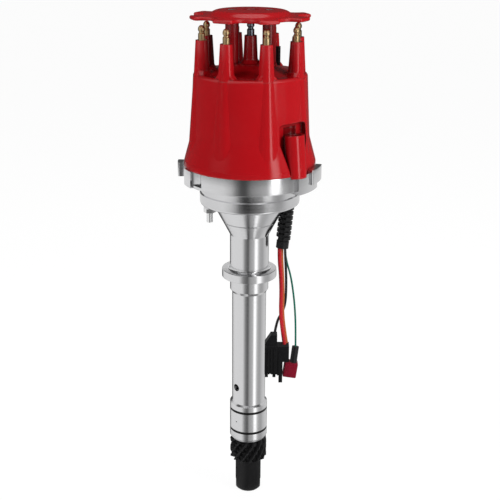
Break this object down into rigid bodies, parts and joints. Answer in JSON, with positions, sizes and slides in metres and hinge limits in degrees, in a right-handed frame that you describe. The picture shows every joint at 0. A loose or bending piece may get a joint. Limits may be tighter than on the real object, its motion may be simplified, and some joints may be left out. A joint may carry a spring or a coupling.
{
  "type": "ignition distributor",
  "caption": "Ignition distributor with a towered cap, lobed wire retainer, machined housing, mechanical advance and a helical drive gear on a long stem.",
  "frame": {"origin": "centre of the hold-down collar's underside, on the shaft axis", "axes": "+Z along the shaft towards the plug towers, -Y towards the side that faces the camera in the picture, +X to its right"},
  "size_m": [0.1151, 0.1058, 0.4194],
  "materials": {
    "machined_aluminium": "turned, fine lines, bright satin",
    "plate_aluminium": "satin sheet",
    "bronze": "sintered bronze, oiled",
    "brass": "turned brass, lightly tarnished",
    "plain_steel": "zinc plated",
    "bright_steel": "bright plated",
    "ground_steel": "ground",
    "bearing_steel": "polished",
    "spring_steel": "wire",
    "black_oxide_iron": "black phosphated",
    "dark_chrome": "dark bright plating",
    "carbon": "carbon",
    "copper_winding": "enamelled wire",
    "magnet": "sintered",
    "red_moulding": "glossy moulded",
    "black_moulding": "moulded",
    "black_rubber": "moulded rubber",
    "red_insulation": "insulation",
    "orange_insulation": "insulation",
    "black_insulation": "insulation",
    "green_insulation": "insulation",
    "connector_black": "moulded",
    "connector_wine": "moulded"
  },
  "bodies": {
    "housing": {"bearing_balls": "bearing_steel", "bearing_outer_race": "bearing_steel", "bearing_snap_ring": "plain_steel", "black_connector": "connector_black", "bushing_pin": "plain_steel", "button_spring": "spring_steel", "cap_screws": "plain_steel", "coil_terminal": "dark_chrome", "distributor_cap": "red_moulding", "ground_nut": "bright_steel", "ground_stud": "bright_steel", "housing": "machined_aluminium", "ignition_module": "black_moulding", "lead_black": "black_insulation", "lead_green": "green_insulation", "lead_orange": "orange_insulation", "lead_plug": "connector_black", "lead_red": "red_insulation", "lower_bushing": "bronze", "module_screws": "plain_steel", "o_ring_lower": "black_rubber", "o_ring_upper": "black_rubber", "pickup_coil": "copper_winding", "pickup_magnet": "magnet", "pickup_plate": "plate_aluminium", "pickup_pole": "plain_steel", "plate_screws": "plain_steel", "plug_latch": "connector_black", "plug_terminals": "brass", "red_connector": "connector_wine", "red_connector_seal": "connector_black", "retainer_screws": "plain_steel", "shaft_seal": "black_rubber", "strain_relief_boot": "black_rubber", "vent_plug": "black_rubber", "wire_retainer": "red_moulding"},
    "shaft": {"main_shaft": "ground_steel", "drive_gear": "black_oxide_iron", "gear_roll_pin": "plain_steel", "thrust_washer": "bronze", "bearing_inner_race": "bearing_steel", "shaft_snap_ring": "plain_steel", "advance_cam": "plain_steel", "cam_plate": "plain_steel", "cam_clip": "plain_steel"},
    "advance": {"trigger_sleeve": "ground_steel", "weight_plate": "plain_steel", "reluctor": "plain_steel", "weight_pivot_pins": "ground_steel", "rotor_posts": "ground_steel", "rotor": "black_moulding", "rotor_blade": "brass", "rotor_contact_spring": "brass", "rotor_screws": "plain_steel", "advance_spring_a": "spring_steel", "advance_spring_b": "spring_steel"},
    "flyweight_a": {"flyweight_a": "plain_steel"},
    "flyweight_b": {"flyweight_b": "plain_steel"},
    "button": {"carbon_button": "carbon"}
  },
  "joints": [
    {"name": "shaft_spin", "type": "hinge", "parent": "housing", "child": "shaft", "pos_m": [0, 0, 0], "axis": [0, 0, -1], "continuous": true},
    {"name": "advance_turn", "type": "hinge", "parent": "shaft", "child": "advance", "pos_m": [0, 0, 0], "axis": [0, 0, -1], "range_deg": [0, 12.5], "stiffness_Nm_per_rad": 0.08, "deforming": ["advance_spring_a", "advance_spring_b"]},
    {"name": "weight_a_swing", "type": "hinge", "parent": "advance", "child": "flyweight_a", "pos_m": [0, 0.022, 0], "axis": [0, 0, -1], "range_deg": [0, 9.6]},
    {"name": "weight_b_swing", "type": "hinge", "parent": "advance", "child": "flyweight_b", "pos_m": [0, -0.022, 0], "axis": [0, 0, -1], "range_deg": [0, 9.6]},
    {"name": "button_press", "type": "slide", "parent": "housing", "child": "button", "axis": [0, 0, 1], "range_m": [0, 0.0015], "stiffness_N_per_m": 200, "deforming": ["button_spring"]}
  ],
  "couplings": [
    {"joint": "weight_a_swing", "follows": "advance_turn", "ratio": 0.76},
    {"joint": "weight_b_swing", "follows": "advance_turn", "ratio": 0.76}
  ]
}
